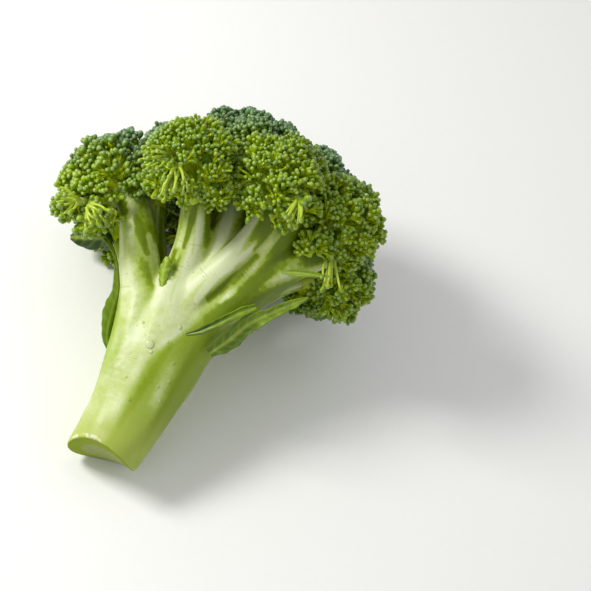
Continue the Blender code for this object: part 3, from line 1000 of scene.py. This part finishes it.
def grow_umbels(name, looks, middle, radius, outward, lobes, lobe_radii, rng):
    """A floret's umbels, as their axes, their centres, their radii and their lobes' numbers: a cap of
    places on each lobe's skin, each turned part of the way to the floret's outward direction, where no
    other lobe is."""
    lobe_area = 2 * math.pi * (LOBE_SHARE * radius) ** 2 * (1 - math.cos(UMBEL_CAP))
    each = int(round(lobe_area / UMBEL_AREA))
    ways = spread(unit(lobes - middle + 0.3 * radius * outward), each, UMBEL_CAP, rng, 0.16).reshape(-1, 3)
    lobe_of = np.repeat(np.arange(len(lobes)), each)
    radii = UMBEL_RADIUS * rng.uniform(0.8, 1.12, len(ways)) * (1 + 0.15 * looks["loose"])
    sunk = rng.uniform(-0.6, 0.9, len(ways))
    tops = lobes[lobe_of] + ways * (lobe_radii[lobe_of] + sunk)[:, None]
    axes = unit(ways + looks["tilt"] * outward)
    umbels = tops - axes * radii[:, None]
    keep = ~buried(tops, lobes, lobe_radii, lobe_of, 1.2)
    keep &= beyond_neighbours(name, tops, NEIGHBOUR_GAP) < 1.0
    return axes[keep], umbels[keep], radii[keep], lobe_of[keep]


def make_floret(name, settings, material):
    """One floret: stems that fork from its branch to lobes, from lobes to umbels and from umbels to buds,
    each set spread round the one before as directions on a ball's cap."""
    (centre, radius), _ = FLORETS[name]
    looks = {**PLAIN, **FLORET_LOOKS.get(name, {})}
    loose = looks["loose"]
    width, length = settings.bud_width / MM, settings.bud_length / MM
    rng = seeded(name, settings.seed)
    middle = np.array(centre, float) + looks["shift"]
    radius = radius + looks["grow"]
    line = stalk_lines()[name]
    root = line[-1, :3]
    outward = unit(0.5 * unit(middle - root) + 0.8 * unit(middle - CROWN_ROOT))
    lobe_ways, lobes, lobe_radii = grow_lobes(name, looks, middle, radius, outward, rng)
    umbel_ways, umbels, umbel_radii, lobe_of = grow_umbels(
        name, looks, middle, radius, outward, lobes, lobe_radii, rng
    )

    bud_ways = spread(umbel_ways, BUDS_IN_UMBEL, BUD_CAP, rng, 0.13).reshape(-1, 3)
    umbel_of = np.repeat(np.arange(len(umbels)), BUDS_IN_UMBEL)
    size = looks["bud"] * rng.uniform(0.78, 1.16, len(bud_ways))
    reach = umbel_radii[umbel_of] + rng.uniform(-0.9, 0.5, len(bud_ways)) * (1 + loose)
    heads = umbels[umbel_of] + bud_ways * reach[:, None]
    keep = ~buried(heads, umbels, umbel_radii, umbel_of, 1.3)
    keep &= ~buried(heads, lobes, lobe_radii, lobe_of[umbel_of], 2.5)
    keep &= beyond_neighbours(name, heads, NEIGHBOUR_GAP) < 0.6
    keep &= rng.random(len(heads)) > 0.18 * loose
    inner = heads - bud_ways * (length * size)[:, None]
    keep &= np.minimum(lay_down(heads)[:, 2], lay_down(inner)[:, 2]) > LEAST_BUD_HEIGHT * MM
    for x, y, z, ball in looks["bald"]:
        keep &= np.linalg.norm(heads - (x, y, z), axis=1) > ball
    keep[keep] = thin_out(heads[keep], width * looks["bud"] * BUD_SPACING)
    bud_ways, umbel_of, size, heads = bud_ways[keep], umbel_of[keep], size[keep], heads[keep]

    heap = Heap(*BUD_VALUES)
    sky = sky_share(heads, middle, looks["blue"])
    shade = rng.uniform(-0.2, 0.2, len(lobes))[lobe_of[umbel_of]]
    tint = np.clip(0.5 + shade + rng.uniform(-0.4, 0.4, len(heads)), 0, 1)
    feet = add_buds(heap, heads, bud_ways, width * size, length * size, sky, tint, rng)

    umbel_roots = umbels - umbel_ways * (0.35 * umbel_radii)[:, None]
    starts = umbel_roots[umbel_of]
    bends = 0.5 * (starts + feet) + 0.9 * umbel_ways[umbel_of]
    add_stems(heap, starts, bends, feet + 0.3 * bud_ways, (0.7, 0.5), (4, 3), 0.4 * sky, 0.3)

    lobe_roots = lobes - lobe_ways * (0.7 * lobe_radii)[:, None]
    starts = lobe_roots[lobe_of]
    bends = 0.5 * (starts + umbel_roots) + 0.25 * (lobes[lobe_of] - starts)
    add_stems(heap, starts, bends, umbel_roots, (1.6, 1.0), (6, 4), 0.0, 0.2)

    ahead = unit(line[-1, :3] - line[-3, :3])
    count = len(lobes)
    starts = root - 7.0 * ahead + rng.uniform(-1.5, 1.5, (count, 3))
    bends = root + ahead * 2.0 + 0.25 * (lobe_roots - root)
    add_stems(heap, starts, bends, lobe_roots, (3.8, 2.0), (10, 8), 0.0, 0.0)

    # Painted shade: a dark green ball inside each lobe, which shows through the gaps between its umbels.
    arc = [(math.sin(a), -math.cos(a)) for a in np.linspace(0, math.pi, 8)]
    shade_ball, quads, triangles = turned_forms(arc, 12, 5, 0.06)
    frames = upright_frames(lobe_ways, rng.uniform(0, 2 * math.pi, count))
    scaled = shade_ball[None] * (SHADE_BALL_SHARE * lobe_radii)[:, None, None]
    points = lobes[:, None] + np.einsum("nij,nkj->nki", frames, scaled)
    each = len(shade_ball)
    heap.add(
        points.reshape(-1, 3), repeat_faces(quads, count, each), repeat_faces(triangles, count, each),
        tip=0.5, sky=0.3, tint=1.0,
    )
    for owner, *spray in SPRAYS:
        if owner == name:
            add_spray(heap, *spray, settings, rng)
    return place(heap.mesh(name.replace("floret", "buds")), material, [name])


# ----------------------------------------------------------------------------------------
# Leaves
# ----------------------------------------------------------------------------------------

# Each leaf's blades. A blade has a midrib, as (x, y, z, half-width), the way it spreads, how far its left
# and right halves curl, in radians, how high and how long its edge's waves are, and how dark it is at its
# base and its tip.
LEAVES = {
    "leaf_left": (
        dict(
            midrib=[(-15.7, -3, 47, 0.8), (-19.0, -4, 53, 2.8), (-21.3, -4, 62, 3.9), (-23.4, -5, 72, 2.8),
                    (-27.5, -4, 80, 1.3), (-30.5, -2, 85, 1.0), (-34.5, 0, 89.5, 1.1), (-39, 3, 93, 1.8)],
            across=(0.75, 0.6, 0.25), curl=(0.8, 0.4), wave=(0.25, 9.0), dark=(0.35, 0.1), veins=0.25,
        ),
        dict(
            midrib=[(-37, 3, 92.5, 1.5), (-41, 5, 93, 4.6), (-46, 6, 91, 5.8), (-51, 6, 88.5, 4.0),
                    (-54, 6, 87, 1.0)],
            across=(-0.1, -0.5, 0.9), curl=(0.7, 1.6), wave=(0.6, 8.0), dark=(1.0, 1.0), veins=0.3,
        ),
    ),
    "leaf_right": (
        dict(
            midrib=[(26, -17, 62, 2.4), (31, -21, 70, 4.2), (35.5, -25, 79, 4.2), (41, -27, 86, 3.0),
                    (47, -28, 93, 2.4), (54, -29, 101, 0.5)],
            across=(-0.75, -0.45, 0.5), curl=(0.9, 0.5), wave=(0.45, 8.0), dark=(0.5, 0.1), veins=0.3,
        ),
        dict(
            midrib=[(13.5, -25, 63, 0.5), (19.0, -27.5, 67, 1.9), (25, -29, 74, 2.4), (30, -29, 81, 2.6),
                    (35.5, -28, 87, 1.6)],
            across=(-0.6, 0.1, 0.8), curl=(1.5, 1.5), wave=(0.2, 7.0), dark=(0.9, 0.15), veins=0.2,
        ),
    ),
    "bract_right": (
        dict(
            midrib=[(39, -26, 107, 0.5), (45, -28.5, 109, 1.8), (52, -30.5, 111, 1.2), (58, -31, 113, 0.3)],
            across=(-0.3, -0.5, 0.8), curl=(0.7, 0.7), wave=(0.1, 6.0), dark=(0.0, 0.1), veins=0.1,
        ),
    ),
    "bract_fork": (
        dict(
            midrib=[(-5.5, -19.5, 79, 1.2), (-7.5, -21.5, 84, 2.4), (-8.3, -23, 88, 2.6),
                    (-9.0, -24, 91, 0.9)],
            across=(0.9, -0.3, 0.2), curl=(0.9, 0.8), wave=(0.7, 3.0), dark=(0.0, 0.0), veins=0.6,
        ),
    ),
}
LEAF_STEPS = 12
LEAF_COLUMNS = 21


def make_leaf(name, settings, material):
    """A leaf's blades. Each is a grid along its midrib, and across it as an arc whose slope is curl times
    the share of the way out, with waves that grow towards its edge, side veins that lean to its tip, and
    a ragged edge."""
    rng = seeded(name, settings.seed)
    heap = Heap(*LEAF_VALUES)
    for form in LEAVES[name]:
        line = smooth_path(form["midrib"], LEAF_STEPS)
        rows = len(line)
        ahead = unit(np.gradient(line[:, :3], axis=0))
        side = np.array(form["across"], float)
        side = unit(side - ahead * (ahead @ side)[:, None])
        up = np.cross(ahead, side)
        s = np.linspace(-1, 1, LEAF_COLUMNS)
        reach = np.concatenate([[0], np.cumsum(np.linalg.norm(np.diff(line[:, :3], axis=0), axis=1))])
        curl = np.where(s < 0, form["curl"][0], form["curl"][1])
        slope = curl * np.abs(s)
        step = 2 / (LEAF_COLUMNS - 1)
        middle = LEAF_COLUMNS // 2
        flat = np.cumsum(np.cos(slope)) * step
        rise = np.cumsum(np.sin(slope) * np.sign(s)) * step
        flat, rise = flat - flat[middle], rise - rise[middle]
        rag = np.ones((rows, LEAF_COLUMNS))
        for half in (s < 0, s >= 0):
            edge = sum(np.sin(reach * k / 2.9 + rng.uniform(0, 2 * math.pi)) / k for k in range(1, 6))
            rag[:, half] += 0.09 * edge[:, None]
        width = line[:, 3, None] * rag
        height, length = form["wave"]
        wave = height * np.sin(2 * math.pi * (reach[:, None] / length + 0.3 * s[None])) * s[None] ** 2
        points = (
            line[:, None, :3]
            + side[:, None] * (width * flat)[..., None]
            + up[:, None] * (width * rise + wave * np.minimum(width, 3) / 3)[..., None]
        )
        out = np.abs(s[None]) * width
        rib = np.exp(-((out / (0.35 + 0.12 * line[:, 3, None])) ** 2))
        lean = (reach[:, None] - 0.9 * out) / 4.5
        veins = form["veins"] * np.exp(-((((lean % 1) - 0.5) * 4.5 / 0.5) ** 2))
        veins = veins * smooth_step(1.0, 0.7, np.abs(s))
        low, high = form["dark"]
        dark = low + (high - low) * smooth_step(0.1, 0.9, reach / reach[-1])[:, None] * np.ones(LEAF_COLUMNS)
        index = np.arange(rows * LEAF_COLUMNS).reshape(rows, LEAF_COLUMNS)
        quads = np.stack([index[:-1, :-1], index[1:, :-1], index[1:, 1:], index[:-1, 1:]], axis=-1)
        heap.add(
            points.reshape(-1, 3), quads, np.zeros((0, 3)),
            vein=np.clip(0.8 * rib + veins, 0, 1).ravel(), dark=dark.ravel(),
        )
    piece = place(heap.mesh(name + "_blade"), material, [name])
    wall = piece.modifiers.new("wall", "SOLIDIFY")
    wall.thickness = settings.leaf_thickness
    wall.offset = 0.0
    return piece


# ----------------------------------------------------------------------------------------
# Stage
# ----------------------------------------------------------------------------------------


def view_axes():
    """The view's right, up and back, turned into the frame."""
    ahead = unit(VIEW_AHEAD)
    right = unit(VIEW_RIGHT - ahead * (ahead @ VIEW_RIGHT))
    up = np.cross(right, ahead)
    return np.stack([right, up, -ahead], axis=1)


def aim(thing, position, axes):
    """Puts a camera or a light at a position, its local axes along the columns of axes."""
    matrix = np.eye(4)
    matrix[:3, :3] = axes
    matrix[:3, 3] = position
    thing.matrix_world = matrix.T.tolist()


def add_light(name, towards, distance, size, watts, colour):
    """A square soft light that looks back at the head from a direction given in the view's right, up and
    back."""
    target = lay_down(np.array([[15.0, 0.0, 100.0]]))[0]
    way = unit(lying_turn() @ view_axes() @ np.array(towards, float))
    frames = upright_frames(way[None], np.zeros(1))[0]
    lamp = bpy.data.lights.new(name, "AREA")
    lamp.energy = watts
    lamp.size = size
    lamp.color = colour
    holder = bpy.data.objects.new(name, lamp)
    bpy.context.scene.collection.objects.link(holder)
    aim(holder, target + way * distance, frames)


def make_stage(settings):
    """A wide pale floor, a large soft key light from the view's upper left, a pale sky, and the
    camera."""
    half = settings.floor_size / 2
    corners = [(-half, -half, 0), (half, -half, 0), (half, half, 0), (-half, half, 0)]
    mesh = bpy.data.meshes.new("floor")
    mesh.from_pydata(corners, [], [(0, 1, 2, 3)])
    mesh.materials.append(floor_material(settings))
    floor = bpy.data.objects.new("floor", mesh)
    bpy.context.scene.collection.objects.link(floor)

    bpy.context.scene.view_settings.view_transform = "Standard"
    world = bpy.data.worlds.new("pale_sky")
    bpy.context.scene.world = world
    world.use_nodes = True
    sky = world.node_tree.nodes["Background"]
    sky.inputs["Color"].default_value = (1.0, 1.0, 1.0, 1.0)
    sky.inputs["Strength"].default_value = settings.sky_strength

    add_light("key_light", (-0.75, 0.75, 0.75), 0.8, 0.22, settings.key_watts, (1.0, 0.99, 0.96))
    add_light("fill_light", (0.9, 0.1, 0.8), 0.9, 0.6, settings.fill_watts, (0.96, 0.98, 1.0))

    camera = bpy.data.objects.new("camera", bpy.data.cameras.new("camera"))
    bpy.context.scene.collection.objects.link(camera)
    camera.data.sensor_width = SENSOR
    camera.data.lens = SENSOR * VIEW_DISTANCE / VIEW_WIDTH
    camera.data.clip_start = 0.01
    axes = view_axes()
    stand = lay_down((VIEW_AIM + axes[:, 2] * VIEW_DISTANCE)[None])[0]
    aim(camera, stand, lying_turn() @ axes)
    bpy.context.scene.camera = camera


# ----------------------------------------------------------------------------------------
# Settings, operators and panel
# ----------------------------------------------------------------------------------------


def colour_setting(name, description, hex_colour):
    """A colour that a user may change, given as sRGB hex."""
    return bpy.props.FloatVectorProperty(
        name=name, description=description, default=linear(hex_colour),
        subtype="COLOR", size=3, min=0.0, max=1.0
    )


def number_setting(name, description, default, low, high, unit="NONE"):
    """A number that a user may change."""
    return bpy.props.FloatProperty(
        name=name, description=description, default=default, min=low, max=high, unit=unit, precision=4
    )


class BroccoliSettings(bpy.types.PropertyGroup):
    """The sizes and colours of the broccoli head and its stage."""

    seed: bpy.props.IntProperty(name="Seed", description="Which head of many grows", default=7, min=0)
    skin_cell: number_setting(
        "Skin Cell", "Spacing of the skin's points", 0.7 * MM, 0.5 * MM, 3 * MM, "LENGTH"
    )
    ridge_height: number_setting(
        "Ridge Height", "Height of the rind's ridges", 0.9 * MM, 0.0, 2 * MM, "LENGTH"
    )
    bud_width: number_setting("Bud Width", "Width of a flower bud", 2.15 * MM, 1 * MM, 5 * MM, "LENGTH")
    bud_length: number_setting("Bud Length", "Length of a flower bud", 3.3 * MM, 1 * MM, 6 * MM, "LENGTH")
    leaf_thickness: number_setting(
        "Leaf Thickness", "Thickness of a leaf", 0.6 * MM, 0.2 * MM, 2 * MM, "LENGTH"
    )
    rind_pale: colour_setting("Pale Rind", "Whitish wax on the ridges", "#cbd4a6")
    rind_cream: colour_setting("Cream Rind", "Yellower patches of the ridges", "#b0bf6e")
    rind_green: colour_setting("Green Rind", "Grooves between the ridges", "#7f960a")
    rind_deep: colour_setting("Deep Rind", "Darker flecks in the grooves", "#667c02")
    rind_mid: colour_setting("Middle Rind", "Rind with a little wax", "#9ab044")
    rind_foot: colour_setting("Foot Rind", "Yellower rind near the cut", "#a9b750")
    torn_skin: colour_setting("Torn Skin", "Flecks of dry skin at the cut's edge", "#d6d3b2")
    rind_scar: colour_setting("Scar", "Thin arcs where bracts came off", "#7d8a3a")
    pith: colour_setting("Pith", "Moist flesh in the cut end", "#98a25c")
    pith_shade: colour_setting("Pith Shade", "Darker fibres in the cut end", "#7f8a44")
    cut_rim: colour_setting("Cut Rim", "Green ring round the cut end", "#829600")
    bud_yellow: colour_setting("Yellow Bud", "Buds in shade, lighter", "#92ad04")
    bud_green: colour_setting("Green Bud", "Buds in shade, darker", "#5a7c02")
    bud_blue: colour_setting("Waxy Bud", "Buds that face the sky, lighter", "#6c9060")
    bud_dark: colour_setting("Dark Bud", "Buds that face the sky, darker", "#38591f")
    # Whitish at each bud's tip: partly wax bloom and partly a painted highlight.
    bud_bloom_and_highlight: colour_setting("Wax Bloom", "Whitish wax on a bud", "#cfdcc2")
    stem_green: colour_setting("Stem", "Thin stems under the buds", "#b0c60c")
    leaf_light: colour_setting("Light Leaf", "Leaf between its veins, lighter", "#86a30e")
    leaf_green: colour_setting("Leaf", "Leaf between its veins", "#648204")
    leaf_dark: colour_setting("Dark Leaf", "The blade's darker part", "#2a4a18")
    leaf_vein: colour_setting("Vein", "Midrib and side veins", "#a6b94c")
    floor_colour: colour_setting("Floor", "The floor's white", "#f4f4f2")
    floor_size: number_setting("Floor Size", "Width of the floor", 8.0, 1.0, 50.0, "LENGTH")
    sky_strength: number_setting(
        "Sky Strength", "Brightness of the even light from all round", 0.56, 0.0, 5.0
    )
    key_watts: number_setting("Key Light", "Power of the light from the upper left", 5.6, 0.0, 500.0, "POWER")
    fill_watts: number_setting("Fill Light", "Power of the light from the right", 0.4, 0.0, 500.0, "POWER")


class BROCCOLI_OT_stage(bpy.types.Operator):
    """Makes the floor, the lights and the camera"""

    bl_idname = "broccoli.stage"
    bl_label = "Make Stage"

    def execute(self, context):
        make_stage(context.scene.broccoli)
        return {"FINISHED"}


class BROCCOLI_OT_stalk(bpy.types.Operator):
    """Makes the stalk's rind with its branches and its cut end"""

    bl_idname = "broccoli.stalk"
    bl_label = "Make Stalk"

    def execute(self, context):
        make_stalk(context.scene.broccoli)
        return {"FINISHED"}


class BROCCOLI_OT_florets(bpy.types.Operator):
    """Makes every floret's stems and buds"""

    bl_idname = "broccoli.florets"
    bl_label = "Make Florets"

    def execute(self, context):
        settings = context.scene.broccoli
        material = bud_material(settings)
        for name in FLORETS:
            make_floret(name, settings, material)
        return {"FINISHED"}


class BROCCOLI_OT_leaves(bpy.types.Operator):
    """Makes the small leaves and bracts"""

    bl_idname = "broccoli.leaves"
    bl_label = "Make Leaves"

    def execute(self, context):
        settings = context.scene.broccoli
        material = leaf_material(settings)
        for name in LEAVES:
            make_leaf(name, settings, material)
        return {"FINISHED"}


OPERATORS = (BROCCOLI_OT_stage, BROCCOLI_OT_stalk, BROCCOLI_OT_florets, BROCCOLI_OT_leaves)


class BROCCOLI_PT_panel(bpy.types.Panel):
    """Lists the broccoli's operators and settings in the sidebar"""

    bl_idname = "BROCCOLI_PT_panel"
    bl_label = "Broccoli Head"
    bl_space_type = "VIEW_3D"
    bl_region_type = "UI"
    bl_category = "Broccoli"

    def draw(self, context):
        for operator in OPERATORS:
            self.layout.operator(operator.bl_idname)
        for name in BroccoliSettings.__annotations__:
            self.layout.prop(context.scene.broccoli, name)


CLASSES = (BroccoliSettings, *OPERATORS, BROCCOLI_PT_panel)


def register():
    for item in CLASSES:
        bpy.utils.register_class(item)
    bpy.types.Scene.broccoli = bpy.props.PointerProperty(type=BroccoliSettings)


def unregister():
    del bpy.types.Scene.broccoli
    for item in reversed(CLASSES):
        bpy.utils.unregister_class(item)


def main():
    register()
    bpy.ops.broccoli.stage()
    bpy.ops.broccoli.stalk()
    bpy.ops.broccoli.florets()
    bpy.ops.broccoli.leaves()


if __name__ == "__main__":
    main()
